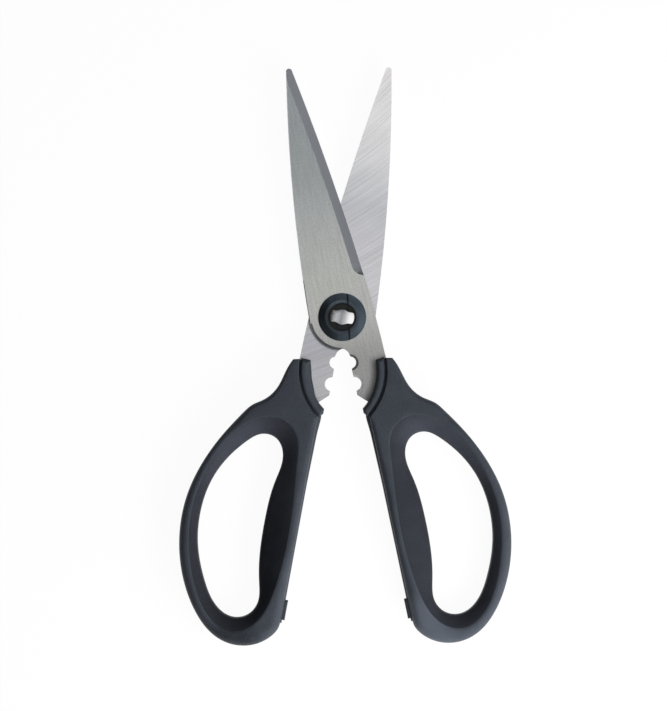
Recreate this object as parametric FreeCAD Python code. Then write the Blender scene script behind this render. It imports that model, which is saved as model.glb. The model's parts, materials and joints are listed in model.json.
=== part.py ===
"""Take-apart kitchen shears: two crossed blades on a keyed pivot, with moulded finger loops.

Each half is drawn shut, in its own frame: the pivot is the origin, +Y runs to the tip, +X is the
side of its handle and z = 0 is the plane where the blades meet. The back half is the front half
turned over about Y. Both are then swung open, and the whole stands on z = 0.
"""

import FreeCAD
import Part
import math
import os

Vec = FreeCAD.Vector
UP = Vec(0, 0, 1)

# Pose (degrees)
REST_OPENING = 22.3     # between the halves, as they lie
RELEASE_OPENING = 102.3  # where the stud's bar lines up with the key slot and the halves come apart
STUD_SET = 3.0          # turn of the stud's bar from square across the back blade

# Running past a face by this much, a cut opens it cleanly (mm)
OVERCUT = 1.0

# Blade (mm)
BLADE_T = 2.4
BLADE_GAP = 0.1         # running clearance between the two blades
TIP_REACH = 95.5        # pivot to tip
HEEL_R = 12.4           # round end of the blade below the pivot
SPINE_BOW = 1.8         # rise of the spine above its chord
EDGE_BOW = 0.85         # rise of the cutting edge above its chord
TIP_TOP_X = -0.5
TIP_BACK_X = -1.6       # where the rounding of the tip meets the spine
TIP_BACK_DROP = 1.2
TIP_FRONT_X = 0.7       # and where it meets the cutting edge
TIP_FRONT_DROP = 1.3
EDGE_HEEL = (11.2, 13.0)
NECK_SIDE = (12.3, -2.0)
NECK_FOOT = (12.9, -17.5)
SPINE_CHAMFER = 0.3

# Bevel ground on the outer face
BEVEL_W = 3.2
EDGE_LAND = 0.15        # steel left below the bevel at the edge
BEVEL_END = 18.0        # height above the pivot where the bevel starts to run out
RUNOUT_R = 4.5
BEVEL_OVERRUN = 0.1     # share of the edge by which the grinding passes the tip

# Stripping notches
TOOTH_X = -0.5
SCALLOP_R = (2.25, 2.55)
SCALLOP_X = -0.6
SCALLOP_DROP = 4.9      # first notch below the round heel
SCALLOP_PITCH = 8.2
TOOTH_DROP = 4.3        # foot of the last tooth below the second notch
TOOTH_R = 0.6
ARCH_X = (-3.5, -2.5, -1.15)   # where the arch between the heel and the teeth begins, is highest and ends
ARCH_RISE = 0.72
TOOTH_LEAD = 0.9        # top of the first tooth below the heel
FOOT_IN = 0.8           # where the blade's edge goes under the collar, from the collar's foot
FOOT_UP = 0.6
NOTCH_BEVEL = 0.9       # on the outer face, round the heel and the notches

# Tang inside the handle
TANG_IN = 3.6           # inner side of the tang
TANG_W = 4.9
TANG_END = -96.0
TANG_TOP = -47.0        # where the full width of the tang begins
TANG_HOLE_R = 1.6
TANG_HOLE_COUNT = 3
TANG_HOLE_PITCH = 16.0
TANG_HOLE_RISE = 8.0    # last hole above the tang's end

# Pivot
SHANK_R = 3.1
SHANK_FIT = 0.05
BAR_R = 4.8             # half length of the stud's bar
BAR_W = 4.65
BAR_T = 1.7
BOSS_RISE = 0.4
BAR_EDGE = 0.5          # rounding of the bar's top
BOSS_EDGE = 0.3
KEY_FIT = 0.25
HEAD_FIT = 0.05         # between the bar and the front blade
TENON_R = 2.6
TENON_FLAT = 4.2        # across the two flats
RIVET_R = 4.4
RIVET_T = 1.1
RIVET_EDGE = 0.77
WASHER_R = 6.5
WASHER_T = 1.0
RING_R = 9.0
BAR_ROOM = 0.55         # between the bar's ends and the ring
RING_T = 2.5
RING_WALL = 0.9         # straight part of the ring's side
RING_LAND = 1.1         # flat part of the ring's face
RING_GROOVE_D = 0.35
PEG_R = 1.0
PEG_SHORT = 0.3         # pegs stop short of the blade's inner face

# Handle
HANDLE_T = 12.0
COVER_IN = 2.25         # inner side of the cover
COVER_R = 2.2           # rounding of the cover's outer run
COVER_IN_R = 1.4
NECK_CORNER = (15.2, -18.8)
OUTER_RUN = (
    (17.3, -24.2), (18.9, -29.8), (21.7, -34.2), (25.4, -37.1), (27.2, -38.2), (29.3, -40.7), (34.7, -48.9),
    (41.4, -62.2), (45.3, -76.6), (45.3, -91.6), (41.5, -106.0), (34.0, -118.9), (26.2, -125.9),
    (17.2, -128.4), (8.4, -125.8), (4.3, -122.2), (1.5, -116.2),
)

# Finger hole and the rim of its cushion, both from the top and down the inner leg first
FINGER_HOLE = (
    (19.8, -48.1), (14.6, -50.3), (12.4, -55.5), (13.7, -65.0), (14.9, -79.0), (14.5, -93.0),
    (12.8, -103.5), (11.7, -110.0), (14.2, -115.9), (20.4, -118.3), (26.8, -115.5), (33.2, -106.5),
    (38.0, -94.0), (39.3, -82.0), (37.3, -69.0), (32.4, -59.0), (26.0, -51.3),
)
CUSHION_RIM = (
    (19.0, -41.4), (12.8, -42.6), (8.7, -46.8), (7.0, -55.0), (5.9, -67.0), (5.1, -80.0),
    (5.3, -93.0), (6.6, -105.0), (9.6, -115.5), (14.5, -121.3), (20.8, -123.2), (28.3, -119.8),
    (35.8, -109.5), (40.8, -95.5), (42.4, -82.0), (40.5, -68.5), (35.6, -55.5), (29.2, -46.8),
    (24.5, -43.2),
)
HOLE_RIM_T = 5.6        # thickness at the edge of the hole
HOLE_EDGE = 1.2         # rounding of that edge
CUSHION_T = 1.3
CUSHION_SAMPLES = 48
LOOP_SPAN_COUNT = 8

# Core and collar
CORE_T = 6.2
COLLAR_STEP = 0.8       # drop from the cover's face to the collar's
COLLAR_CHAMFER = 0.9
COLLAR_TOP = (9.0, -18.3)
COLLAR_MID = (7.4, -26.2)
COLLAR_FOOT = (2.3, -33.8)
COLLAR_NOSE = ((0.45, -35.2), (0.45, -36.9))
COLLAR_BACK_FOOT = (1.6, -38.3)
COLLAR_BACK_MID = (9.3, -29.8)
COLLAR_BACK_TOP = (12.3, -17.9)
COLLAR_GROOVE = 0.6     # open gap between the collar and the cover
GROOVE_WAY = (0.8, -0.6)  # the way across that gap
STRIP_X = 1.75          # inner side of the core where it shows
STRIP_FLARE = ((0.0, 26.0), (0.35, 6.0), (0.9, 0.0))   # how far it stands out, at drops below the collar
CORE_SHOULDER = ((12.2, -20.0), (14.4, -27.0), (16.0, -34.0), (13.6, -41.5), (9.5, -49.0))
CORE_WALL = 1.0         # core outside the tang
CORE_FOOT = 0.6         # core below the stop pad

# Stop pad
PAD_FACE = 0.35
PAD_SEAT = 3.4          # how far into the core the pad reaches, measured from the pivot's line
PAD_LENGTH = 8.1
PAD_PAST = 0.2          # foot of the pad below the end of the straight inner edge
PAD_T = 4.8
PAD_R = 0.4


def at(point, z=0.0):
    return Vec(point[0], point[1], z)


def line(a, b):
    return Part.makeLine(at(a), at(b))


def arc(a, middle, b):
    return Part.Arc(at(a), at(middle), at(b)).toShape()


def bowed(a, b, bow):
    """Arc from a to b that rises by bow to the left of the way from a to b."""
    run = at(b) - at(a)
    side = Vec(-run.y, run.x, 0).normalize()
    middle = (at(a) + at(b)) * 0.5 + side * bow
    return Part.Arc(at(a), middle, at(b)).toShape()


def spline(points):
    curve = Part.BSplineCurve()
    curve.interpolate([at(p) for p in points])
    return curve.toShape()


def loop_curve(points):
    curve = Part.BSplineCurve()
    curve.interpolate(Points=[at(p) for p in points], PeriodicFlag=True)
    return curve


def widened(curve, distance):
    """Closed curve at a distance outside another that runs with its inside on the left."""
    first = curve.FirstParameter
    step = (curve.LastParameter - first) / CUSHION_SAMPLES
    points = []
    for i in range(CUSHION_SAMPLES):
        u = first + step * i
        run = curve.tangent(u)[0]
        where = curve.value(u)
        points.append((where.x + run.y * distance, where.y - run.x * distance))
    return loop_curve(points)


def loop_edges(curve):
    """The closed curve in a few lengths, so that no face runs all the way round."""
    first = curve.FirstParameter
    step = (curve.LastParameter - first) / LOOP_SPAN_COUNT
    return [curve.toShape(first + step * i, first + step * (i + 1)) for i in range(LOOP_SPAN_COUNT)]


def loop_wire(curve, z):
    wire = Part.Wire(loop_edges(curve))
    wire.translate(UP * z)
    return wire


def slab(edges, low, high):
    """Prism on a closed run of edges, from one height to another."""
    face = Part.Face(Part.Wire(edges))
    face.translate(UP * low)
    return face.extrude(UP * (high - low))


def loop_slab(curve, low, high):
    return slab(loop_edges(curve), low, high)


def funnel(low_curve, low, high_curve, high):
    return Part.makeLoft([loop_wire(low_curve, low), loop_wire(high_curve, high)], True, True)


def post(radius, low, high, x=0.0, y=0.0):
    return Part.makeCylinder(radius, high - low, Vec(x, y, low))


def block(low, high):
    return Part.makeBox(high[0] - low[0], high[1] - low[1], high[2] - low[2], Vec(*low))


def turned_over(shape):
    shape = shape.copy()
    shape.rotate(Vec(0, 0, 0), Vec(0, 1, 0), 180)
    return shape


def swung(shape, degrees):
    shape = shape.copy()
    shape.rotate(Vec(0, 0, 0), UP, degrees)
    return shape


def upright_edges(shape, inside):
    """Straight edges along z whose place in plan passes the test."""
    found = []
    for edge in shape.Edges:
        box = edge.BoundBox
        if box.XLength < 1e-4 and box.YLength < 1e-4 and inside(box.XMin, box.YMin):
            found.append(edge)
    return found


def flat_edges(shape, height, inside):
    """Edges that lie at a height and whose middle in plan passes the test."""
    found = []
    for edge in shape.Edges:
        box = edge.BoundBox
        if box.ZLength < 1e-4 and abs(abs(box.ZMin) - height) < 1e-4:
            middle = edge.valueAt((edge.FirstParameter + edge.LastParameter) / 2)
            if inside(middle.x, middle.y):
                found.append(edge)
    return found


def single(shape):
    return shape.removeSplitter().Solids[0]


BLADE_IN = BLADE_GAP / 2
BLADE_OUT = BLADE_IN + BLADE_T
HALF_T = HANDLE_T / 2
TIP_BACK = (TIP_BACK_X, TIP_REACH - TIP_BACK_DROP)
TIP_FRONT = (TIP_FRONT_X, TIP_REACH - TIP_FRONT_DROP)
COLLAR_HALF_T = HALF_T - COLLAR_STEP
BLADE_FOOT = (COLLAR_FOOT[0] + FOOT_IN, COLLAR_FOOT[1] + FOOT_UP)
CORE_BEND = tuple((a + b) / 2 for a, b in zip(COLLAR_MID, COLLAR_BACK_MID))
ARCH_START = (ARCH_X[0], -math.sqrt(HEEL_R ** 2 - ARCH_X[0] ** 2))
ARCH_TOP = (ARCH_X[1], ARCH_RISE - HEEL_R)
ARCH_FOOT = (ARCH_X[2], -HEEL_R)
SCALLOP_Y = (-HEEL_R - SCALLOP_DROP, -HEEL_R - SCALLOP_DROP - SCALLOP_PITCH)
TOOTH_TOP = (TOOTH_X, -HEEL_R - TOOTH_LEAD)
TOOTH_FOOT = (TOOTH_X, SCALLOP_Y[1] - TOOTH_DROP)
SCALLOP_MIDDLE = (TOOTH_X, SCALLOP_Y[0])
SCALLOP_LEAD = (SCALLOP_X + 0.3 * SCALLOP_R[0], SCALLOP_Y[0] + 0.85 * SCALLOP_R[0])
TANG_OUT = TANG_IN + TANG_W
CORE_OUT = TANG_OUT + CORE_WALL
PAD_BOTTOM = OUTER_RUN[-1][1] - PAD_PAST
CORE_END = PAD_BOTTOM - CORE_FOOT
RING_BORE = BAR_R + BAR_ROOM
PEG_AT = (RING_BORE + RING_R) / 2
KEY_W = BAR_W + 2 * KEY_FIT


def bar_across(half_length, width, low, high):
    """Bar along X with round ends, about the pivot."""
    strip = block((-half_length, -width / 2, low), (half_length, width / 2, high))
    return strip.common(post(half_length, low, high))


def bevel_cut():
    """Leaning prism that leaves the ground bevel and its run-out at the heel."""
    edge = bowed(TIP_FRONT, EDGE_HEEL, EDGE_BOW).Curve
    run = at(EDGE_HEEL) - at(TIP_FRONT)
    along = run / run.Length
    out = Vec(-along.y, along.x, 0)
    rise = BLADE_T - EDGE_LAND
    lean = UP - out * (BEVEL_W / rise)
    share = (BEVEL_END - TIP_FRONT[1]) / run.y
    start, middle, end = (
        edge.value(edge.parameter(at(TIP_FRONT) + run * s)) for s in (-BEVEL_OVERRUN, share / 2, share)
    )
    half_turn = math.radians(45)
    turn_middle = end + (along * math.sin(half_turn) + out * (1 - math.cos(half_turn))) * RUNOUT_R
    turn_end = end + (along + out) * RUNOUT_R
    far_low = turn_end + out * HEEL_R
    far_high = start + out * (HEEL_R + RUNOUT_R)
    wire = Part.Wire([
        Part.Arc(start, middle, end).toShape(),
        Part.Arc(end, turn_middle, turn_end).toShape(),
        Part.makeLine(turn_end, far_low),
        Part.makeLine(far_low, far_high),
        Part.makeLine(far_high, start),
    ])
    face = Part.Face(wire)
    face.translate(UP * (BLADE_IN + EDGE_LAND) - lean * OVERCUT)
    return face.extrude(lean * (rise + 2 * OVERCUT))


def notch_bevels():
    """Cones that bevel the outer face round the heel and the stripping notches."""
    low = BLADE_OUT - NOTCH_BEVEL
    high = BLADE_OUT + OVERCUT
    rise = high - low
    far = HEEL_R + OVERCUT
    heel = block((-far, -far, low), (ARCH_X[1], 0, high))
    cuts = [heel.cut(Part.makeCone(HEEL_R, HEEL_R - rise, rise, UP * low))]
    for y, radius in zip(SCALLOP_Y, SCALLOP_R):
        cuts.append(Part.makeCone(radius, radius + rise, rise, Vec(SCALLOP_X, y, low)))
    return cuts


def blade_blank():
    heel_side = math.radians(225)
    edges = [
        bowed(TIP_BACK, (-HEEL_R, 0), -SPINE_BOW),
        arc((-HEEL_R, 0), (HEEL_R * math.cos(heel_side), HEEL_R * math.sin(heel_side)), ARCH_START),
        arc(ARCH_START, ARCH_TOP, ARCH_FOOT),
        line(ARCH_FOOT, TOOTH_TOP),
        line(TOOTH_TOP, SCALLOP_LEAD),
        line(SCALLOP_LEAD, SCALLOP_MIDDLE),
        line(SCALLOP_MIDDLE, TOOTH_FOOT),
        line(TOOTH_FOOT, BLADE_FOOT),
        line(BLADE_FOOT, (TANG_IN, COLLAR_BACK_FOOT[1])),
        line((TANG_IN, COLLAR_BACK_FOOT[1]), (TANG_IN, TANG_END)),
        line((TANG_IN, TANG_END), (TANG_OUT, TANG_END)),
        line((TANG_OUT, TANG_END), (TANG_OUT, TANG_TOP)),
        line((TANG_OUT, TANG_TOP), (NECK_FOOT[0], COLLAR_FOOT[1])),
        line((NECK_FOOT[0], COLLAR_FOOT[1]), NECK_FOOT),
        arc(NECK_FOOT, NECK_SIDE, EDGE_HEEL),
        bowed(EDGE_HEEL, TIP_FRONT, -EDGE_BOW),
        arc(TIP_FRONT, (TIP_TOP_X, TIP_REACH), TIP_BACK),
    ]
    plate = slab(edges, BLADE_IN, BLADE_OUT)
    for y, radius in zip(SCALLOP_Y, SCALLOP_R):
        plate = plate.cut(post(radius, 0, BLADE_OUT + OVERCUT, SCALLOP_X, y))
    teeth = upright_edges(plate, lambda x, y: abs(x - TOOTH_X) < 0.01 and y < SCALLOP_Y[0])
    plate = plate.makeFillet(TOOTH_R, teeth)
    spine = flat_edges(plate, BLADE_OUT, lambda x, y: x < -HEEL_R / 4 and y > 0)
    plate = plate.makeChamfer(SPINE_CHAMFER, spine)
    plate = plate.cut(notch_bevels())
    for i in range(TANG_HOLE_COUNT):
        y = TANG_END + TANG_HOLE_RISE + TANG_HOLE_PITCH * i
        plate = plate.cut(post(TANG_HOLE_R, 0, BLADE_OUT + OVERCUT, (TANG_IN + TANG_OUT) / 2, y))
    return plate.cut(bevel_cut())


def loop_parts():
    """Body of the finger loop under its cushion, and the cushion itself."""
    hole = loop_curve(FINGER_HOLE)
    rim = loop_curve(CUSHION_RIM)
    wide_hole = widened(hole, CUSHION_T)
    ring = loop_slab(rim, -HALF_T, HALF_T).cut(loop_slab(hole, -HANDLE_T, HANDLE_T))
    body = loop_slab(rim, CUSHION_T - HALF_T, HALF_T - CUSHION_T)
    body = body.cut(loop_slab(wide_hole, -HANDLE_T, HANDLE_T))
    lip = HOLE_RIM_T / 2
    for side in (1, -1):
        ring = ring.cut(funnel(hole, side * lip, rim, side * HALF_T))
        body = body.cut(funnel(wide_hole, side * (lip - CUSHION_T), rim, side * (HALF_T - CUSHION_T)))
    ring = ring.makeFillet(HOLE_EDGE, flat_edges(ring, lip, lambda x, y: True))
    return body, ring.cut(body)


def cover_block():
    groove = at(GROOVE_WAY) * COLLAR_GROOVE
    top = at(COLLAR_BACK_TOP) + groove
    foot = at(COLLAR_BACK_FOOT) + groove
    beyond = (-HALF_T, OUTER_RUN[-1][1])
    edges = [
        Part.Arc(foot, at(COLLAR_BACK_MID) + groove, top).toShape(),
        line((top.x, top.y), NECK_CORNER),
        spline((NECK_CORNER,) + OUTER_RUN),
        line(OUTER_RUN[-1], beyond),
        line(beyond, (foot.x, foot.y)),
    ]
    solid = slab(edges, -HALF_T, HALF_T)
    solid = solid.makeFillet(COVER_R, flat_edges(solid, HALF_T, lambda x, y: x > NECK_CORNER[0]))
    far_x = max(x for x, y in OUTER_RUN) + HALF_T
    far_y = min(y for x, y in OUTER_RUN) - HALF_T
    inner = block((COVER_IN, far_y, -HALF_T), (far_x, 0, HALF_T))
    inner = inner.makeFillet(COVER_IN_R, flat_edges(inner, HALF_T, lambda x, y: x == COVER_IN))
    return solid.common(inner)


def core_block():
    collar = slab([
        arc(COLLAR_TOP, COLLAR_MID, COLLAR_FOOT),
        line(COLLAR_FOOT, COLLAR_NOSE[0]),
        line(COLLAR_NOSE[0], COLLAR_NOSE[1]),
        line(COLLAR_NOSE[1], COLLAR_BACK_FOOT),
        arc(COLLAR_BACK_FOOT, COLLAR_BACK_MID, COLLAR_BACK_TOP),
        line(COLLAR_BACK_TOP, COLLAR_TOP),
    ], -COLLAR_HALF_T, COLLAR_HALF_T)
    collar = collar.makeChamfer(COLLAR_CHAMFER, flat_edges(collar, COLLAR_HALF_T, lambda x, y: True))
    flare = tuple((STRIP_X - out, COLLAR_BACK_FOOT[1] - drop) for out, drop in STRIP_FLARE)
    outline = (COLLAR_TOP,) + CORE_SHOULDER + ((CORE_OUT, CORE_END), (STRIP_X, CORE_END)) + flare + (
        COLLAR_FOOT, CORE_BEND)
    sides = [line(a, b) for a, b in zip(outline, outline[1:] + outline[:1])]
    return collar.fuse(slab(sides, -CORE_T / 2, CORE_T / 2))


def stop_pad():
    pad = block((PAD_FACE, PAD_BOTTOM, -PAD_T / 2), (PAD_SEAT, PAD_BOTTOM + PAD_LENGTH, PAD_T / 2))
    rim = [e for e in pad.Edges if abs(e.BoundBox.XMax - PAD_FACE) < 1e-4]
    return pad.makeFillet(PAD_R, rim)


def handle(blade):
    """Core, cover, cushion and stop pad of one half, fitted on its blade."""
    pad = stop_pad()
    block_in = core_block()
    body, cushion = loop_parts()
    rim = loop_slab(loop_curve(CUSHION_RIM), -HANDLE_T, HANDLE_T)
    cover = cover_block().cut(rim).fuse(body)
    return {
        "handle_core": block_in.cut([blade, pad]),
        "handle_cover": cover.cut([block_in, blade, pad]),
        "finger_cushion": cushion.cut(block_in),
        "stop_pad": pad,
    }


def pivot_parts(key_turn):
    """Stud and washer in the back half, ring in the front half, all shut."""
    head = BLADE_OUT + HEAD_FIT
    bar = bar_across(BAR_R, BAR_W, head, head + BAR_T)
    bar = bar.makeFillet(BAR_EDGE, flat_edges(bar, head + BAR_T, lambda x, y: True))
    boss_top = head + BAR_T + BOSS_RISE
    boss = post(SHANK_R, -BLADE_IN, boss_top)
    boss = boss.makeFillet(BOSS_EDGE, flat_edges(boss, boss_top, lambda x, y: True))
    tenon_low = -BLADE_OUT - WASHER_T
    tenon = post(TENON_R, tenon_low, 0).common(
        block((-TENON_R, -TENON_FLAT / 2, tenon_low), (TENON_R, TENON_FLAT / 2, 0)))
    rivet = post(RIVET_R, tenon_low - RIVET_T, tenon_low)
    rivet = rivet.makeFillet(RIVET_EDGE, flat_edges(rivet, RIVET_T - tenon_low, lambda x, y: True))
    stud = swung(bar.fuse([boss, tenon, rivet]), STUD_SET)
    washer = post(WASHER_R, tenon_low, -BLADE_OUT).cut(stud)
    ring_top = BLADE_OUT + RING_T
    profile = [
        (RING_BORE, BLADE_OUT), (RING_R, BLADE_OUT), (RING_R, BLADE_OUT + RING_WALL),
        (RING_BORE + RING_LAND, ring_top), (RING_BORE, ring_top),
    ]
    corners = [Vec(r, 0, z) for r, z in profile]
    ring = Part.Face(Part.makePolygon(corners + corners[:1])).revolve(Vec(0, 0, 0), UP, 360)
    sunk = ring.translated(UP * -RING_GROOVE_D)
    groove = block((-RING_R, -KEY_W / 2, BLADE_OUT), (RING_R, KEY_W / 2, ring_top + OVERCUT))
    ring = ring.cut(swung(groove, key_turn).cut(sunk))
    for side in (1, -1):
        peg = post(PEG_R, BLADE_IN + PEG_SHORT, BLADE_OUT + RING_WALL, 0, side * PEG_AT)
        ring = ring.fuse(swung(peg, key_turn))
    return stud, washer, ring


key_turn = STUD_SET - RELEASE_OPENING
stud, washer, ring = pivot_parts(key_turn)
bore = post(SHANK_R + SHANK_FIT, 0, BLADE_OUT + OVERCUT)
key = swung(bar_across(BAR_R + KEY_FIT, KEY_W, 0, BLADE_OUT + OVERCUT), key_turn)
blank = blade_blank()
front_blade = blank.cut(bore).cut(key).cut(ring)
back_blade = turned_over(blank).cut(stud)
fittings = handle(blank)

front = {"front_blade": front_blade, "pivot_ring": ring}
back = {"back_blade": back_blade, "pivot_stud": stud, "stud_washer": washer}
for name, shape in fittings.items():
    front["front_" + name] = shape
    back["back_" + name] = turned_over(shape)

nodes = {}
for half, degrees in ((front, REST_OPENING / 2), (back, -REST_OPENING / 2)):
    for name, shape in half.items():
        nodes[name] = swung(single(shape), degrees)

extent = Part.makeCompound(list(nodes.values())).optimalBoundingBox(False)
ground = Vec(-extent.Center.x, -extent.Center.y, HALF_T)
os.makedirs("parts", exist_ok=True)
for name, shape in nodes.items():
    shape.translated(ground).exportStep("parts/" + name + ".step")
print("pivot at", ground)
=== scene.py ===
import json
import math

import bmesh
import bpy
from mathutils import Matrix, Vector
from mathutils.geometry import delaunay_2d_cdt
from mathutils.kdtree import KDTree


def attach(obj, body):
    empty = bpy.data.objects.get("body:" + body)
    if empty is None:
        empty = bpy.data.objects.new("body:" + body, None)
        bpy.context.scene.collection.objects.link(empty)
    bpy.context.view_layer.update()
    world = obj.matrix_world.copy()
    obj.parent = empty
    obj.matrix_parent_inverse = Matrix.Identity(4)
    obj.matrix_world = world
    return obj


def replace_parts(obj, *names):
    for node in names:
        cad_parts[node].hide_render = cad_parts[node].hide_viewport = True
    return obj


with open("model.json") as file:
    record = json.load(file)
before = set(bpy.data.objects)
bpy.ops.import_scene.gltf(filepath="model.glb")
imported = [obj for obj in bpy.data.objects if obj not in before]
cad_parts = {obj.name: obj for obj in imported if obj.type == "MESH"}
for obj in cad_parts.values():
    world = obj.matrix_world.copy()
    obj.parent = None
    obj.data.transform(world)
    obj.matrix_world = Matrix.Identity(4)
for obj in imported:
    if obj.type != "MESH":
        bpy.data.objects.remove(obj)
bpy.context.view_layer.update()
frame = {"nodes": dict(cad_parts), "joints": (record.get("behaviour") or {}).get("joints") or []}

# The photograph: its height in pixels, its scale at the blades, and where its middle falls on the shears
PHOTO_H = 711
PHOTO_MM_PER_PIXEL = 0.375
PHOTO_MIDDLE = (-3.45, 0.3)
PHOTO_ROLL = 0.78           # degrees that the shears lie turned in the picture, counter-clockwise
BLADE_FACE_Z = 8.45
CAMERA_LENS = 150.0

# Sizes are in millimetres, in the frame of the right half when shut: pivot at the origin, +Y to the tip,
# +X on the side of the handle, and z = 0 where the blades meet
MM = 0.001
REST_OPENING = 22.3         # degrees between the two halves as they lie
SIDE = {"front": 1.0, "back": -1.0}     # the back half is the front one turned over
HALF_T = 6.0
POINT_SPACING = 0.7         # along outlines
CORNER = math.radians(35)   # a sharper turn than this stays a corner
SMOOTHING = 6
ROUND_STEPS = 7
WELD = 1e-4

# Degrees past which an edge is shaded as a sharp one
MOULDED_SHARP = 40
BLADE_SHARP = 20
TURNED_SHARP = 30

# Edges of plates, in shares of their width: inward, and down from the face
ROUNDED = [(1 - math.cos(turn), 1 - math.sin(turn)) for turn in
           (math.pi / 2 * k / ROUND_STEPS for k in range(ROUND_STEPS + 1))]
BEVELLED = ((0.0, 1.0), (0.08, 0.75), (0.75, 0.08), (1.0, 0.0))

# Handle cover
COVER_SECTION = 3.5         # height of the section that gives the cover's outline
GROOVE_ROUND = 0.35
TOP_ROUND = 0.6
CREASE = 0.85               # half width of the soft crease round the finger loop
CREASE_STEPS = 5
LEAST_FLAT = 0.15
FILL_SPACING = 1.6
END_THINNING = 0.9          # how far each face falls away towards the end of the handle
THINNING_FROM = -84.0
THINNING_TO = -128.0

# Width of the cover's rounding, in shares of the way down the inner edge and up the bar
EDGE_ROUND = ((0.0, 1.8), (0.1, 2.4), (0.22, 3.1), (0.31, 3.2), (0.38, 3.8), (0.44, 5.0), (0.5, 4.6),
              (0.58, 2.6), (0.84, 2.4), (0.91, 1.7), (0.97, 1.3), (1.0, 0.7))

# Finger cushion
RIM_SECTION = HALF_T - 0.02
LIP_HEIGHT = 3.1            # where a wide dish turns over into the hole
DISH_FALL = 0.62            # fall over width of a narrow dish
DISH_SAG = 1.12             # lean of the dish at its lip over its mean lean
STEEPEST = math.radians(72)
LEAN_ROUNDS = 6
LIP_R = 2.0
DISH_STEPS = 9
LIP_STEPS = 7
EDGE_FINENESS = 8           # points of the hole's edge to choose from, for each point of the rim
SEAM = 0.02
CUSHION_BACK = (0.4, 0.8)   # inward and down to the hidden back of the cushion's edge

# Core and stop pad
COLLAR_SECTION = 4.15
COLLAR_TOP = 5.2
COLLAR_BEVEL = 1.25         # towards the steel
COLLAR_EDGE = 0.8           # towards the cover
ACROSS_COLLAR = Vector((0.8, -0.6))     # way from the steel to the cover
STEEL_SIDE = 0.5            # least share of that way in the inward vector of an edge over the steel
COLLAR_FOOT_TOP = 2.1
COLLAR_FOOT_BEVEL = 1.6
CORE_SECTION = 2.9
CORE_TOP = 3.1
CORE_BEVEL = 1.2
GROOVE_FLOOR_X = (11.6, 13.4)   # plug that closes the top of the groove beside the collar
GROOVE_FLOOR_Y = (-24.0, -18.6)
GROOVE_FLOOR_TOP = 2.9
PAD_X = (0.8, 3.35)
PAD_Y = (-115.8, -108.4)
PAD_HALF_T = 2.4
PAD_ROUND = 0.6

# How far the collar's foot spreads over the steel, by drop below the pivot
COLLAR_FOOT = ((18.3, 0.2), (21.0, 0.9), (28.0, 0.8), (31.5, 0.0))

# Stud: its head, and the riveted end on the back
STUD_SECTION = 3.4
HEAD_SPACING = 0.25
HEAD_FOOT = 2.5
HEAD_TOP = 4.6
HEAD_FALL = 0.35            # from the middle of the head to the ends of its bar
HEAD_REACH = 4.8
HEAD_ROUND = 0.3
RIVET = ((0.0, -4.55), (2.6, -4.5), (3.6, -4.3), (4.15, -3.95), (4.4, -3.5), (4.4, -3.4), (0.0, -3.4))
RIVET_POINTS = 48

# Steel: which way each finish faces, as the z of its normal, and the marks on the flat faces
FLAT_FACE = (0.93, 0.98)
BEVEL_FACE = (0.74, 0.78)
BORE_SHADE_R = (6.4, 6.0)            # inside these radii round the pivot the steel is darkened by painted shade in the ring's bore
HEEL_SHADOW = (12.1, 12.4, 12.6, 13.1)     # radii of a painted shadow line on the inner face beside the other blade's heel
HEEL_X = (-2.0, 2.0)            # the line is on the side of the pivot beyond these
GRIND_CENTRE = (126.0, 174.0)   # of the arcs across the inner face
GRIND_TURN = 100.0              # length along an arc that one radian counts as

# Steel along the blade, in shares of the way from the collar to the tip: the steel's own tone with painted
# reflections and light that change along the blade
TONES_FROM = -30.0
TONES_LENGTH = 130.0
FACE_TONES = ((0.0, (0.265, 0.267, 0.265)), (0.1, (0.3, 0.3, 0.295)), (0.22, (0.439, 0.442, 0.427)),
              (0.34, (0.445, 0.452, 0.43)), (0.42, (0.439, 0.451, 0.436)), (0.56, (0.378, 0.398, 0.398)),
              (0.68, (0.32, 0.342, 0.349)), (1.0, (0.299, 0.325, 0.337)))
BEVEL_TONES = ((0.35, (0.66, 0.69, 0.74)), (0.375, (0.5, 0.53, 0.58)), (0.54, (0.53, 0.56, 0.61)))
INNER_TONES = ((0.0, (0.44, 0.44, 0.457)), (0.15, (0.418, 0.418, 0.451)), (0.33, (0.572, 0.572, 0.594)),
               (0.44, (0.561, 0.556, 0.583)), (0.56, (0.528, 0.535, 0.561)), (0.7, (0.676, 0.676, 0.693)),
               (0.8, (0.759, 0.748, 0.754)), (1.0, (0.748, 0.732, 0.737)))

# Edges of the steel, with painted light on the bevel's run-out and the lower notch's edges, which face away
# from the lamps; and painted shade of the collar on the outer face beside it
EDGE_TONE = (0.34, 0.345, 0.35)
RUNOUT_TONE = (0.95, 0.97, 1.0)
RUNOUT_Y = (15.5, 17.0)         # above these heights the edge of the outer face is the bevel's run-out
NOTCH_TONE = (0.9, 0.91, 0.9)
NOTCH_Y = (-20.0, -22.0)        # below these heights it is the lower notch's
COLLAR_CENTRE = (-13.1, -17.9)  # of the arc that the collar follows
COLLAR_SHADE = (19.0, 22.0)     # radii round that centre
COLLAR_SHADE_Y = (-16.0, -20.0)

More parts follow.
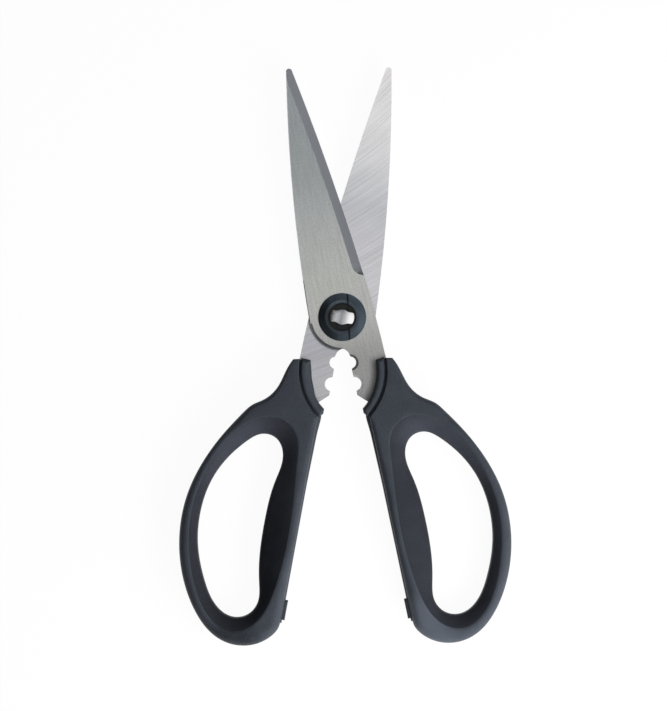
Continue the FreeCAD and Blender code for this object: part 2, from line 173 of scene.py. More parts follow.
# Stud head, in shares from the left end of its bar to the right, with a painted reflection from dark to
# white along the bar; and the ring round it, with painted shadow lines along its sunk band, painted shade
# on its left and painted light on its top and right
HEAD_SPAN = 10.0
HEAD_REFLECTION_TONES = ((0.0, (0.2, 0.21, 0.225)), (0.16, (0.5, 0.505, 0.52)), (0.3, (0.42, 0.425, 0.44)),
              (0.47, (0.2, 0.205, 0.22)), (0.62, (0.34, 0.34, 0.35)), (0.76, (0.6, 0.59, 0.59)),
              (1.0, (0.64, 0.63, 0.63)))
RING_TONE = (0.017, 0.0235, 0.03)
KEY_TURN = -9.3             # degrees from square across the front blade to the ring's sunk band
KEY_SHADOW_LINE = (1.9, 2.15, 2.6, 2.75)
FAINT_SHADOW_LINE = (-2.75, -2.6, -2.35, -2.15)
RING_SHADE_X = (-2.5, -5.5)
RING_PAINTED_LIGHT_X = (3.0, 7.0)
RING_PAINTED_LIGHT_Y = (3.0, 8.0)

# Moulded pieces: patches of painted light and shade, paler or darker, with their middle as the shears lie,
# radius and change of tone, and for each finish its colour, roughness, shine, size and depth of grain, and
# patches
PAINTED_LIGHT_CUSHIONS = (((42.0, -30.0), 28.0, 0.95), ((-42.0, -30.0), 28.0, 0.7), ((-26.0, -80.0), 40.0, -0.5))
PAINTED_LIGHT_COVERS = (((30.0, -99.0), 16.0, 0.8), ((-42.0, -105.0), 15.0, -0.5))
PATCH_CORE = 0.3            # share of its radius within which a patch is full
PLASTICS = {"cover_plastic": ((0.0283, 0.0322, 0.0405), 0.48, 0.3, 0.5, 0.12, PAINTED_LIGHT_COVERS),
            "cushion_rubber": ((0.0165, 0.0179, 0.0228), 0.55, 0.2, 0.4, 0.1, PAINTED_LIGHT_CUSHIONS),
            "core_plastic": ((0.032, 0.0368, 0.045), 0.45, 0.3, 0.5, 0.015, ()),
            "pad_rubber": ((0.026, 0.029, 0.034), 0.6, 0.2, 0.4, 0.02, ())}
COOL = (0.8, 0.9, 1.0, 1.0)     # tint of their gloss and the ring's

# Studio: glows of the sky with their direction, where each begins and is full, and its strength, and
# softboxes close by with their place in metres and their power
SKY = (((0.13, -0.08, 1.0), 0.9, 0.98, 1.37),
       ((0.8, -0.3, 0.42), 0.3, 0.95, 0.42),
       ((-0.4, -0.77, 0.5), 0.6, 0.95, 0.24),
       ((0.0, 0.87, 0.5), 0.6, 0.95, 0.26),
       ((-0.9, 0.1, 0.4), 0.6, 0.95, 0.04))
SKY_LEVEL = 0.02
SOFTBOXES = {"lower_softbox": ((0.18, -0.26, 0.14), 2.1), "right_softbox": ((0.28, -0.06, 0.17), 0.65)}
SOFTBOX_SIZE = 0.3
FLOOR_REACH = 3.0
FLOOR_DROP = 0.1            # just clear of the handles' undersides
FLOOR_TONE = (0.9, 0.9, 0.9, 1.0)
FLOOR_WHITE = 0.95          # share of plain white in it where it is seen; the rest takes the shadow

PIVOT = Vector(frame["joints"][0]["pos_m"])
SWING = Matrix.Rotation(math.radians(REST_OPENING / 2), 4, "Z")
FROM_HALF = Matrix.Translation(PIVOT) @ SWING @ Matrix.Scale(MM, 4)
TO_HALF = FROM_HALF.inverted()
TURNED_OVER = Matrix.Translation(PIVOT) @ Matrix.Rotation(math.pi, 4, "Y") @ Matrix.Translation(-PIVOT)
PLACING = {"front": FROM_HALF, "back": TURNED_OVER @ FROM_HALF}


# Outlines

def area(loop):
    return sum(a.cross(b) for a, b in zip(loop, loop[1:] + loop[:1])) / 2


def length(loop):
    return run_length(loop + loop[:1])


def run_length(run):
    return sum((b - a).length for a, b in zip(run, run[1:]))


def outlines(node, height):
    """Closed outlines of a solid at a height above the mid-plane, longest first, counter-clockwise."""
    cut = bmesh.new()
    cut.from_mesh(frame["nodes"][node].data)
    bmesh.ops.transform(cut, matrix=TO_HALF, verts=cut.verts)
    bmesh.ops.remove_doubles(cut, verts=cut.verts, dist=WELD)
    everything = cut.verts[:] + cut.edges[:] + cut.faces[:]
    bmesh.ops.bisect_plane(cut, geom=everything, dist=WELD / 10, plane_co=(0, 0, height),
                           plane_no=(0, 0, 1), clear_inner=True, clear_outer=True)
    loops = []
    waiting = dict.fromkeys(cut.verts)
    while waiting:
        here = next(iter(waiting))
        loop = []
        while here:
            del waiting[here]
            loop.append(here.co.xy)
            ahead = [e.other_vert(here) for e in here.link_edges if e.other_vert(here) in waiting]
            here = ahead[0] if ahead else None
        loops.append(loop if area(loop) > 0 else loop[::-1])
    cut.free()
    return sorted(loops, key=length, reverse=True)


def spread(run, count):
    """Points evenly along an open run, without its last one."""
    steps = [(b - a).length for a, b in zip(run, run[1:])]
    gap = sum(steps) / count
    points = []
    reached = 0.0
    for a, b, step in zip(run, run[1:], steps):
        while len(points) < count and len(points) * gap <= reached + step:
            points.append(a.lerp(b, (len(points) * gap - reached) / step))
        reached += step
    return points


def smoothed(values, fixed=()):
    """Closed run of numbers or points, evened out but for the fixed places."""
    for _ in range(SMOOTHING):
        count = len(values)
        values = [v if i in fixed else (v * 2 + values[i - 1] + values[(i + 1) % count]) / 4
                  for i, v in enumerate(values)]
    return values


def turn_at(loop, i):
    before = loop[i] - loop[i - 1]
    after = loop[(i + 1) % len(loop)] - loop[i]
    return abs(before.angle_signed(after))


def even_outline(loop, spacing=POINT_SPACING):
    """The outline with evenly spaced points from its highest corner on, and where its corners are."""
    loop = [p for i, p in enumerate(loop) if (p - loop[i - 1]).length > 10 * WELD]
    corners = [i for i in range(len(loop)) if turn_at(loop, i) > CORNER]
    start = max(corners or range(len(loop)), key=lambda i: loop[i].y)
    loop = loop[start:] + loop[:start + 1]
    stops = [i for i in range(1, len(loop) - 1) if turn_at(loop, i) > CORNER]
    points = []
    fixed = []
    for a, b in zip([0] + stops, stops + [len(loop) - 1]):
        run = loop[a:b + 1]
        fixed.append(len(points))
        points += spread(run, max(1, round(run_length(run) / spacing)))
    fixed = fixed if corners else []
    return smoothed(points, fixed), fixed


def inward(points):
    """Vector at each point of a counter-clockwise outline that moves both its sides in by one."""
    found = []
    for i, p in enumerate(points):
        before = (p - points[i - 1]).normalized()
        after = (points[(i + 1) % len(points)] - p).normalized()
        a = Vector((-before.y, before.x))
        b = Vector((-after.y, after.x))
        found.append((a + b) / (1 + a.dot(b)))
    return found


def rectangle(x, y):
    corners = [Vector(c) for c in ((x[0], y[0]), (x[1], y[0]), (x[1], y[1]), (x[0], y[1]))]
    return even_outline(corners)[0]


def tree_of(points):
    tree = KDTree(len(points))
    for i, p in enumerate(points):
        tree.insert((p.x, p.y, 0), i)
    tree.balance()
    return tree


def encloses(loop, spot):
    """Whether a loop of points goes round a spot."""
    crossed = False
    for a, b in zip(loop, loop[1:] + loop[:1]):
        if (a.y > spot.y) != (b.y > spot.y):
            crossed ^= spot.x < a.x + (b.x - a.x) * (spot.y - a.y) / (b.y - a.y)
    return crossed


def stations(table, share):
    """Value between the stations of a short table of (share, value)."""
    for (a, low), (b, high) in zip(table, table[1:]):
        if share <= b:
            t = (share - a) / (b - a)
            return low + (high - low) * t * t * (3 - 2 * t)
    return table[-1][1]


# Meshes

class Shell:
    """Closed surface that is gathered ring by ring, in the frame of a half."""

    def __init__(self):
        self.points = []
        self.faces = []

    def ring(self, points, heights):
        first = len(self.points)
        self.points += [(p.x, p.y, z) for p, z in zip(points, heights)]
        return list(range(first, len(self.points)))

    def bands(self, *rings):
        """Faces from each ring to the next, all with as many points."""
        for low, high in zip(rings, rings[1:]):
            for i in range(len(low)):
                self.faces.append((low[i - 1], low[i], high[i], high[i - 1]))

    def fill(self, outer, holes, height):
        """Triangles inside one ring and outside others, with points of their own in between."""
        rings = [outer] + holes
        known = [i for ring in rings for i in ring]
        flat = [Vector(self.points[i][:2]) for i in known]
        edges = []
        start = 0
        for ring in rings:
            edges += [(start + i, start + (i + 1) % len(ring)) for i in range(len(ring))]
            start += len(ring)
        near = tree_of(flat)
        low = [min(p[k] for p in flat) for k in (0, 1)]
        high = [max(p[k] for p in flat) for k in (0, 1)]
        columns, rows = (int((b - a) / FILL_SPACING) for a, b in zip(low, high))
        grid = [Vector((low[0] + FILL_SPACING * (i + 0.5 * (j % 2)), low[1] + FILL_SPACING * j))
                for j in range(1, rows + 1) for i in range(columns + 1)]
        grid = [p for p in grid if near.find((p.x, p.y, 0))[2] > FILL_SPACING * 0.6]
        spots, _, triangles, origins, _, _ = delaunay_2d_cdt(flat + grid, edges, [], 1, WELD)
        gaps = [[Vector(self.points[i][:2]) for i in ring] for ring in holes]
        middles = [sum((spots[i] for i in t), Vector((0, 0))) / 3 for t in triangles]
        triangles = [t for t, middle in zip(triangles, middles)
                     if not any(encloses(gap, middle) for gap in gaps)]
        names = {}
        for triangle in triangles:
            for i in triangle:
                given = [k for k in origins[i] if k < len(known)]
                if i not in names and given:
                    names[i] = known[given[0]]
                elif i not in names:
                    names[i] = len(self.points)
                    self.points.append((spots[i].x, spots[i].y, height(spots[i])))
            self.faces.append([names[i] for i in triangle])

    def piece(self, name, half, material, body=None):
        mesh = bpy.data.meshes.new(name)
        mesh.from_pydata([PLACING[half] @ Vector(p) for p in self.points], [], self.faces)
        mesh.validate()
        closed = bmesh.new()
        closed.from_mesh(mesh)
        bmesh.ops.recalc_face_normals(closed, faces=closed.faces)
        closed.to_mesh(mesh)
        closed.free()
        made = bpy.data.objects.new(name, mesh)
        bpy.context.scene.collection.objects.link(made)
        dress(made, material, MOULDED_SHARP)
        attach(made, body or half + "_half")
        return made


def dress(thing, material, sharp):
    """One material all over, shaded smooth but for the edges sharper than an angle."""
    mesh = thing.data
    mesh.polygons.foreach_set("use_smooth", [True] * len(mesh.polygons))
    mesh.set_sharp_from_angle(angle=math.radians(sharp))
    mesh.materials.clear()
    mesh.materials.append(material)


def rounded_slab(shell, outline, top, widths, rim=None, foot=None, edge=ROUNDED):
    """Plate on an outline, alike on both faces or on a flat foot; rim gives a hole's rings."""
    moves = inward(outline)
    walls = []
    for side in (1, -1) if foot is None else (1,):
        rings = []
        for inset, drop in edge:
            spots = [p + m * w * inset for p, m, w in zip(outline, moves, widths)]
            heights = [side * (top(q) - w * drop) for q, w in zip(spots, widths)]
            rings.append(shell.ring(spots, heights))
        shell.bands(*rings)
        shares = [step / CREASE_STEPS for step in range(CREASE_STEPS + 1)] if rim else []
        holes = [shell.ring(*rim(side, share)) for share in shares]
        shell.bands(*holes)
        shell.fill(rings[-1], holes[:1], lambda q: side * top(q))
        walls.append((rings[0], holes[-1] if rim else None))
    if foot is not None:
        base = shell.ring(outline, [foot] * len(outline))
        shell.fill(base, [], lambda q: foot)
        walls.append((base, None))
    for upper, lower in zip(*walls):
        if upper:
            shell.bands(upper, lower)


# Handles

def face_height(spot):
    """Height of the cover's flat face, which falls away a little towards the end of the handle."""
    share = (THINNING_FROM - spot.y) / (THINNING_FROM - THINNING_TO)
    return HALF_T - END_THINNING * min(max(share, 0.0), 1.0) ** 2


class FingerLoop:
    """Rim of the dish and edge of the hole in matched points, with the lean of the dish at each."""

    def __init__(self):
        self.rim = even_outline(outlines("front_finger_cushion", RIM_SECTION)[0])[0]
        edge = even_outline(outlines("front_finger_cushion", 0.0)[-1])[0]
        count = len(self.rim)
        fine = spread(edge + edge[:1], EDGE_FINENESS * count)
        near = tree_of(fine)
        shares = [near.find((p.x, p.y, 0))[1] / len(fine) - i / count for i, p in enumerate(self.rim)]
        lags = smoothed(smoothed(smoothed([(s + 0.5) % 1.0 - 0.5 for s in shares])))
        picks = [round((i / count + lag) * len(fine)) % len(fine) for i, lag in enumerate(lags)]
        matched = smoothed([fine[k] for k in picks])
        self.across = [e - r for r, e in zip(self.rim, matched)]
        self.lips = smoothed([max(LIP_HEIGHT, face_height(r) - DISH_FALL * a.length)
                              for r, a in zip(self.rim, self.across)])
        self.leans = []
        for r, a, lip in zip(self.rim, self.across, self.lips):
            lean = 0.5
            for _ in range(LEAN_ROUNDS):
                reach = a.length - LIP_R * (1 - math.sin(lean))
                lean = math.atan2(face_height(r) - lip, reach) * DISH_SAG
            self.leans.append(min(lean, STEEPEST))
        self.leans = smoothed(self.leans)
        self.slopes = [math.tan(lean / 2) for lean in self.leans]
        self.falls = [slope * CREASE / 2 for slope in self.slopes]

    def rim_ring(self, side, share):
        """Ring of the cover beside the rim: share 0 is where the flat ends and 1 is the rim itself."""
        spots = [p - m * CREASE * (1 - share) for p, m in zip(self.rim, inward(self.rim))]
        return spots, [side * (face_height(q) - fall * share ** 2) for q, fall in zip(spots, self.falls)]

    def profile(self, i):
        """Steps (inward, height) down the dish and over the lip into the hole."""
        lean = self.leans[i]
        lip = self.lips[i]
        high = face_height(self.rim[i]) - self.falls[i] - SEAM
        reach = self.across[i].length - LIP_R * (1 - math.sin(lean))
        steps = [(CUSHION_BACK[0], high - CUSHION_BACK[1])]
        for k in range(DISH_STEPS):
            t = k / DISH_STEPS
            steps.append((reach * t, (
                high * (2 * t ** 3 - 3 * t ** 2 + 1) + lip * (3 * t ** 2 - 2 * t ** 3)
                - reach * self.slopes[i] * (t ** 3 - 2 * t ** 2 + t)
                - reach * math.tan(lean) * (t ** 3 - t ** 2))))
        for k in range(LIP_STEPS + 1):
            turn = lean + (math.pi / 2 - lean) * k / LIP_STEPS
            steps.append((reach + LIP_R * (math.sin(turn) - math.sin(lean)),
                          lip - LIP_R * (math.cos(lean) - math.cos(turn))))
        return steps


def handle_cover(half, loop, material):
    outline, corners = even_outline(outlines("front_handle_cover", COVER_SECTION)[0])
    near = tree_of(loop.rim)
    widths = []
    for i, p in enumerate(outline):
        room = near.find((p.x, p.y, 0))[2] - CREASE - LEAST_FLAT
        widths.append(min(edge_width(i, corners), room))
    shell = Shell()
    rounded_slab(shell, outline, face_height, smoothed(widths), loop.rim_ring)
    cover = shell.piece(half + "_cover", half, material)
    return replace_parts(cover, half + "_handle_cover")


def edge_width(i, corners):
    """Width of the cover's rounding: along the groove, down the inner edge and up the bar, and on top."""
    _, foot, neck = corners
    if i <= foot:
        return GROOVE_ROUND
    if i >= neck:
        return TOP_ROUND
    return stations(EDGE_ROUND, (i - foot) / (neck - foot))


def finger_cushion(half, loop, material):
    profiles = [loop.profile(i) for i in range(len(loop.rim))]
    ways = [a.normalized() for a in loop.across]
    shell = Shell()
    sides = []
    for side in (1, -1):
        rings = []
        for k in range(len(profiles[0])):
            spots = [r + w * p[k][0] for r, w, p in zip(loop.rim, ways, profiles)]
            rings.append(shell.ring(spots, [side * p[k][1] for p in profiles]))
        shell.bands(*rings)
        sides.append(rings)
    shell.bands(sides[0][-1], sides[1][-1])
    shell.bands(sides[0][0], sides[1][0])
    cushion = shell.piece(half + "_cushion", half, material)
    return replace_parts(cushion, half + "_finger_cushion")


def handle_core(half, material):
    """Collar beside the blade, and the bar below it that shows along the inner edge and in the groove."""
    shell = Shell()
    collar = even_outline(outlines("front_handle_core", COLLAR_SECTION)[0])[0]
    moves = inward(collar)
    over_steel = [m.dot(ACROSS_COLLAR) > STEEL_SIDE for m in moves]
    widths = [COLLAR_BEVEL if over else COLLAR_EDGE for over in over_steel]
    rounded_slab(shell, collar, lambda q: COLLAR_TOP, smoothed(widths), edge=BEVELLED)
    spreads = [stations(COLLAR_FOOT, -p.y) if over else 0.0 for p, over in zip(collar, over_steel)]
    foot = [p - m * s for p, m, s in zip(collar, moves, smoothed(spreads))]
    rounded_slab(shell, foot, lambda q: COLLAR_FOOT_TOP, [COLLAR_FOOT_BEVEL] * len(foot), edge=BEVELLED)
    bar = even_outline(outlines("front_handle_core", CORE_SECTION)[0])[0]
    rounded_slab(shell, bar, lambda q: CORE_TOP, [CORE_BEVEL] * len(bar), edge=BEVELLED)
    plug = rectangle(GROOVE_FLOOR_X, GROOVE_FLOOR_Y)
    rounded_slab(shell, plug, lambda q: GROOVE_FLOOR_TOP, [GROOVE_ROUND] * len(plug))
    core = shell.piece(half + "_core", half, material)
    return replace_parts(core, half + "_handle_core")


def stop_pad(half, material):
    shell = Shell()
    outline = rectangle(PAD_X, PAD_Y)
    rounded_slab(shell, outline, lambda q: PAD_HALF_T, [PAD_ROUND] * len(outline))
    pad = shell.piece(half + "_pad", half, material)
    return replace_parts(pad, half + "_stop_pad")


def head_height(spot):
    return HEAD_TOP - HEAD_FALL * (spot.length / HEAD_REACH) ** 2


def pivot_stud(material):
    """Polished T-shaped head with soft corners, and the domed rivet behind the washer."""
    shell = Shell()
    outline = smoothed(even_outline(outlines("pivot_stud", STUD_SECTION)[0], HEAD_SPACING)[0])
    rounded_slab(shell, outline, head_height, [HEAD_ROUND] * len(outline), foot=HEAD_FOOT)
    turns = [Vector((math.cos(a), math.sin(a))) for a in
             (2 * math.pi * k / RIVET_POINTS for k in range(RIVET_POINTS))]
    rings = [shell.ring([turn * r for turn in turns], [z] * RIVET_POINTS) for r, z in RIVET[1:-1]]
    shell.bands(*rings)
    for ring, (_, z) in ((rings[0], RIVET[0]), (rings[-1], RIVET[-1])):
        middle = len(shell.points)
        shell.points.append((0.0, 0.0, z))
        shell.faces += [(ring[i - 1], ring[i], middle) for i in range(RIVET_POINTS)]
    stud = shell.piece("stud", "front", material, "back_half")
    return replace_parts(stud, "pivot_stud")


# Shader maths

class Value:
    """An output socket; sums and products of such values add Math nodes."""

    def __init__(self, tree, socket=None):
        self.tree = tree
        self.socket = socket

    def node(self, kind, settings, inputs, output=0):
        """Any node: its settings are set first, then the value or link of each input."""
        made = self.tree.nodes.new(kind)
        for name, setting in settings.items():
            if name == "stops":
                ramp = made.color_ramp.elements
                while len(ramp) < len(setting):
                    ramp.new(1.0)
                for element, (place, colour) in zip(ramp, setting):
                    element.position = place
                    element.color = (*colour, 1.0)
            else:
                setattr(made, name, setting)
        for key, value in inputs.items():
            if isinstance(value, Value):
                self.tree.links.new(value.socket, made.inputs[key])
            else:
                made.inputs[key].default_value = value
        return Value(self.tree, made.outputs[output] if made.outputs else None)

    def math(self, operation, *values):
        return self.node("ShaderNodeMath", {"operation": operation}, dict(enumerate(values)))

    def __add__(self, other):
        return self.math("ADD", self, other)

    def __radd__(self, other):
        return self.math("ADD", other, self)

    def __sub__(self, other):
        return self.math("SUBTRACT", self, other)

    def __rsub__(self, other):
        return self.math("SUBTRACT", other, self)

    def __mul__(self, other):
        return self.math("MULTIPLY", self, other)

    def __rmul__(self, other):
        return self.math("MULTIPLY", other, self)

    def rising(self, low, high):
        """From 0 below low to 1 above high, smoothly; low may be the larger."""
        return self.node("ShaderNodeMapRange", {"interpolation_type": "SMOOTHSTEP"},
                         {"Value": self, "From Min": low, "From Max": high})

    def between(self, start, full, ending, end):
        """From 0 at start to 1 at full, and from 1 at ending back to 0 at end."""
        return self.rising(start, full) * self.rising(end, ending)

    def mixed(self, a, b):
        """Colour a where this is 0 and b where it is 1."""
        return self.node("ShaderNodeMix", {"data_type": "RGBA"}, {0: self, 6: rgba(a), 7: rgba(b)}, 2)

    def tones(self, stops):
        """Colour from a short table of (share, colour)."""
        return self.node("ShaderNodeValToRGB", {"stops": stops}, {"Fac": self})

    def shading(self, colour):
        """Colour made lighter or darker by this."""
        return self.node("ShaderNodeVectorMath", {"operation": "SCALE"}, {0: colour, "Scale": self})

    def noise(self, scale, detail=2.0, roughness=0.5):
        """Cloudy value about 0.5 over this place, with features about 1 / scale across."""
        return self.node("ShaderNodeTexNoise", {}, {
            "Vector": self, "Scale": scale, "Detail": detail, "Roughness": roughness})

    def measured(self, along, across, turn=0.0, origin=(0, 0, 0)):
        """This place in steps of two lengths, along a direction in degrees from x and across it."""
        return self.node("ShaderNodeMapping", {"vector_type": "TEXTURE"}, {
            "Vector": self, "Location": origin, "Rotation": (0, 0, math.radians(turn)),
            "Scale": (along, across, across)})

    def axis(self, name):
        return self.node("ShaderNodeSeparateXYZ", {}, {"Vector": self}, name)

    def distance(self, spot):
        return self.node("ShaderNodeVectorMath", {"operation": "DISTANCE"}, {0: self, 1: spot}, "Value")


def rgba(colour):
    return colour if isinstance(colour, Value) else (*colour, 1.0)


def new_material(name):
    material = bpy.data.materials.new(name)
    material.use_nodes = True
    material.node_tree.nodes.clear()
    return material, Value(material.node_tree)


def place_on(shade, half):
    """Place on a half in millimetres, in its shut frame, with the pivot at the origin."""
    lying = shade.node("ShaderNodeTexCoord", {}, {}, "Object")
    return lying.measured(MM, MM, SIDE[half] * REST_OPENING / 2, PIVOT)


def surface(shade, height, depth, **sockets):
    """Principled surface with a bump of a depth in millimetres."""
    inputs = {name.replace("_", " "): value for name, value in sockets.items()}
    inputs["Normal"] = shade.node("ShaderNodeBump", {}, {"Height": height, "Distance": depth * MM})
    shader = shade.node("ShaderNodeBsdfPrincipled", {}, inputs)
    shade.node("ShaderNodeOutputMaterial", {}, {"Surface": shader})


def ground_marks(shade, place, half):
    """Arcs that a grinding wheel left across the inner face."""
    x, y = GRIND_CENTRE
    centre = (x * SIDE[half], y, 0)
    spoke = shade.node("ShaderNodeVectorMath", {"operation": "SUBTRACT"}, {0: place, 1: centre})
    way = shade.math("ARCTAN2", spoke.axis("Y"), spoke.axis("X")) * GRIND_TURN
    polar = shade.node("ShaderNodeCombineXYZ", {}, {"X": way, "Y": place.distance(centre)})
    broad = polar.measured(40.0, 1.6).noise(1.0, 2.0)
    fine = polar.measured(22.0, 0.36).noise(1.0, 3.0, 0.6)
    deep = polar.measured(34.0, 0.3).noise(1.0, 1.0).rising(0.62, 0.74)
    return broad * 0.25 + fine * 0.75 - deep * 0.3 + 0.02


def blade_steel(half):
    """Brushed outer face, ground bevel and cross-ground inner face, with painted reflections and light
    along the blade, and painted shade in the ring's bore, beside the other blade's heel and towards the
    collar.
    """
    material, shade = new_material(half + "_blade_steel")
    place = place_on(shade, half)
    x = place.axis("X") * SIDE[half]
    y = place.axis("Y")
    facing = shade.node("ShaderNodeNewGeometry", {}, {}, "True Normal").axis("Z") * SIDE[half]
    brushed = facing.rising(*FLAT_FACE)
    ground = (facing * -1.0).rising(*FLAT_FACE)
    bevel = facing.rising(*BEVEL_FACE) * (1.0 - brushed)
    plain = 1.0 - brushed - ground

    # tones along the blade: the steel's own tone with painted reflections and light that change along it
    along = (y - TONES_FROM) * (1 / TONES_LENGTH)
    # painted light: the bevel's run-out and the lower notch's edges are made paler than the other edges
    colour = y.rising(*RUNOUT_Y).mixed(EDGE_TONE, RUNOUT_TONE)
    colour = y.rising(*NOTCH_Y).mixed(colour, NOTCH_TONE)
    colour = bevel.mixed(colour, along.tones(BEVEL_TONES))
    colour = brushed.mixed(colour, along.tones(FACE_TONES))
    colour = ground.mixed(colour, along.tones(INNER_TONES))

    lines = place.measured(9.0, 0.36, 90).noise(1.0, 3.0, 0.6)
    mottle = place.noise(1.6, 3.0, 0.7)
    clouds = place.noise(0.08, 2.0)
    marks = ground_marks(shade, place, half) * 0.75 + mottle * 0.25
    grain = brushed * (lines * 0.45 + mottle * 0.55) + ground * marks + plain * 0.5

    from_pivot = place.distance((0, 0, 0))
    # painted shade inside the ring's bore
    bore_shade = from_pivot.rising(*BORE_SHADE_R)
    # painted shadow line on the inner face beside the other blade's heel
    heel_shadow = from_pivot.between(*HEEL_SHADOW) * x.rising(*HEEL_X) * ground
    # painted shade of the collar, darkening the outer face towards it
    centre = (COLLAR_CENTRE[0] * SIDE[half], COLLAR_CENTRE[1], 0)
    painted_shade = place.distance(centre).rising(*COLLAR_SHADE) * y.rising(*COLLAR_SHADE_Y) * brushed
    level = (grain - 0.5) * 1.3 + (clouds - 0.5) * 0.15 + 1.0
    level = level * (1.0 - bore_shade * 0.95) * (1.0 - heel_shadow * 0.55) * (1.0 - painted_shade * 0.75)
    roughness = 0.36 + (mottle - 0.5) * 0.1 + (plain - bevel) * 0.4
    surface(shade, grain, 0.01, Base_Color=level.shading(colour), Metallic=1.0, Roughness=roughness)
    return material


def polished_steel():
    material, shade = new_material("stud_steel")
    place = place_on(shade, "back")
    swirl = place.noise(1.5, 3.0)
    # painted reflection along the head's bar, from dark at its left end to white at its right
    along = place.axis("X") * (1 / HEAD_SPAN) + 0.5
    surface(shade, swirl, 0.006, Base_Color=along.tones(HEAD_REFLECTION_TONES), Metallic=1.0,
            Roughness=0.16 + swirl * 0.12)
    return material


def ring_plastic():
    """Dark plastic with a sunk band across it, where the stud's bar passes when the halves come apart, with
    painted shadow lines along the band's edges, painted shade on its left and painted light on its top and
    right.
    """
    material, shade = new_material("ring_plastic")
    place = place_on(shade, "front")
    across = place.measured(1.0, 1.0, KEY_TURN).axis("X")
    # painted shadow lines along the edges of the sunk band
    line = across.between(*KEY_SHADOW_LINE)
    faint = across.between(*FAINT_SHADOW_LINE)
    grain = place.noise(2.0, 2.0, 0.7)
    # painted shade on the ring's left, and painted light on its top and right
    painted_shade = place.axis("X").rising(*RING_SHADE_X)
    painted_lighting = place.axis("Y").rising(*RING_PAINTED_LIGHT_Y) * 1.8 + place.axis("X").rising(*RING_PAINTED_LIGHT_X) * 0.65
    level = (1.0 + (grain - 0.5) * 0.4) * (1.0 - line * 0.7) * (1.0 - faint * 0.25)
    level = level * (1.0 - painted_shade * 0.6) * (1.0 + painted_lighting)
    surface(shade, grain, 0.012, Base_Color=level.shading(RING_TONE), Roughness=0.4 + line * 0.4,
            Specular_Tint=COOL, Specular_IOR_Level=0.4)
    return material


def washer_steel():
    material, shade = new_material("washer_steel")
    place = place_on(shade, "back")
    grain = place.noise(4.0, 3.0)
    surface(shade, grain, 0.02, Base_Color=(0.55, 0.55, 0.54, 1.0), Metallic=1.0,
            Roughness=0.28 + grain * 0.2)
    return material


def moulded_plastic(name, colour, roughness, shine, grain_size, grain_depth, painted_lighting):
    """Moulded plastic or rubber with a fine grain, faint clouds of colour and patches of painted light and
    shade.
    """
    material, shade = new_material(name)
    place = place_on(shade, "front")
    grain = place.noise(1 / grain_size, 2.0, 0.7)
    clouds = place.noise(0.12, 4.0, 0.6)
    level = 1.0 + (clouds - 0.5) * 0.6 + (grain - 0.5) * 0.7
    lying = shade.node("ShaderNodeTexCoord", {}, {}, "Object").measured(MM, MM)
    # patches of painted light and shade, paler or darker, fixed on the loops as the shears lie
    for middle, radius, change in painted_lighting:
        level = level + lying.distance((*middle, HALF_T)).rising(radius, radius * PATCH_CORE) * change
    surface(shade, grain, grain_depth, Base_Color=level.shading(colour),
            Roughness=roughness + (clouds - 0.5) * 0.1, Specular_IOR_Level=shine, Specular_Tint=COOL)
    return material


# Stage

def studio():
    world = bpy.data.worlds.new("studio")
    bpy.context.scene.world = world
    world.use_nodes = True
    world.node_tree.nodes.clear()
    shade = Value(world.node_tree)
    way = shade.node("ShaderNodeTexCoord", {}, {}, "Generated")
    level = SKY_LEVEL
    for direction, low, high, strength in SKY:
        reach = shade.node("ShaderNodeVectorMath", {"operation": "DOT_PRODUCT"},
                           {0: way, 1: Vector(direction).normalized()}, "Value")
        level = level + reach.rising(low, high) * strength
    sky = shade.node("ShaderNodeBackground", {}, {"Color": level, "Strength": 1.0})
    shade.node("ShaderNodeOutputWorld", {}, {"Surface": sky})
    for name, (place, power) in SOFTBOXES.items():
        lamp = bpy.data.lights.new(name, "AREA")
        lamp.size = SOFTBOX_SIZE
        lamp.energy = power
        box = bpy.data.objects.new(name, lamp)
        box.location = place
        box.rotation_euler = box.location.to_track_quat("Z", "Y").to_euler()
        box.visible_camera = False
        box.visible_glossy = False
        bpy.context.scene.collection.objects.link(box)


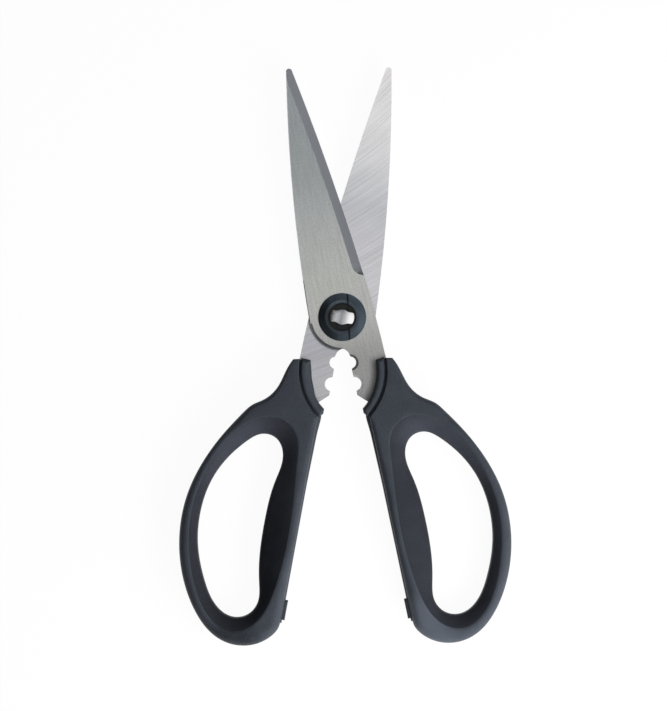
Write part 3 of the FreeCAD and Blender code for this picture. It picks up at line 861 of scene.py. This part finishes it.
def floor():
    mesh = bpy.data.meshes.new("floor")
    corners = [(x * FLOOR_REACH, y * FLOOR_REACH, 0) for x, y in ((-1, -1), (1, -1), (1, 1), (-1, 1))]
    mesh.from_pydata(corners, [], [(0, 1, 2, 3)])
    made = bpy.data.objects.new("floor", mesh)
    made.location.z = -FLOOR_DROP * MM
    bpy.context.scene.collection.objects.link(made)
    material, shade = new_material("floor_white")
    path = [shade.node("ShaderNodeLightPath", {}, {}, name) for name in
            ("Is Camera Ray", "Is Glossy Ray", "Is Transmission Ray")]
    seen = shade.math("MINIMUM", path[0] + path[1] + path[2], 1.0) * FLOOR_WHITE
    paper = shade.node("ShaderNodeBsdfDiffuse", {}, {"Color": FLOOR_TONE})
    white = shade.node("ShaderNodeEmission", {}, {"Color": (1.0, 1.0, 1.0, 1.0), "Strength": 1.0})
    both = shade.node("ShaderNodeMixShader", {}, {0: seen, 1: paper, 2: white})
    shade.node("ShaderNodeOutputMaterial", {}, {"Surface": both})
    mesh.materials.append(material)


def camera():
    data = bpy.data.cameras.new("camera")
    data.lens = CAMERA_LENS
    made = bpy.data.objects.new("camera", data)
    covered = PHOTO_H * PHOTO_MM_PER_PIXEL
    distance = covered * data.lens / data.sensor_width
    made.location = Vector((*PHOTO_MIDDLE, BLADE_FACE_Z + distance)) * MM
    made.rotation_euler.z = -math.radians(PHOTO_ROLL)
    bpy.context.scene.collection.objects.link(made)
    bpy.context.scene.camera = made


def main():
    plastics = {name: moulded_plastic(name, *finish) for name, finish in PLASTICS.items()}
    loop = FingerLoop()
    for half in SIDE:
        handle_cover(half, loop, plastics["cover_plastic"])
        finger_cushion(half, loop, plastics["cushion_rubber"])
        handle_core(half, plastics["core_plastic"])
        stop_pad(half, plastics["pad_rubber"])
        dress(frame["nodes"][half + "_blade"], blade_steel(half), BLADE_SHARP)
    pivot_stud(polished_steel())
    dress(frame["nodes"]["pivot_ring"], ring_plastic(), TURNED_SHARP)
    dress(frame["nodes"]["stud_washer"], washer_steel(), TURNED_SHARP)
    studio()
    floor()
    camera()
    bpy.context.scene.view_settings.view_transform = "Standard"


main()
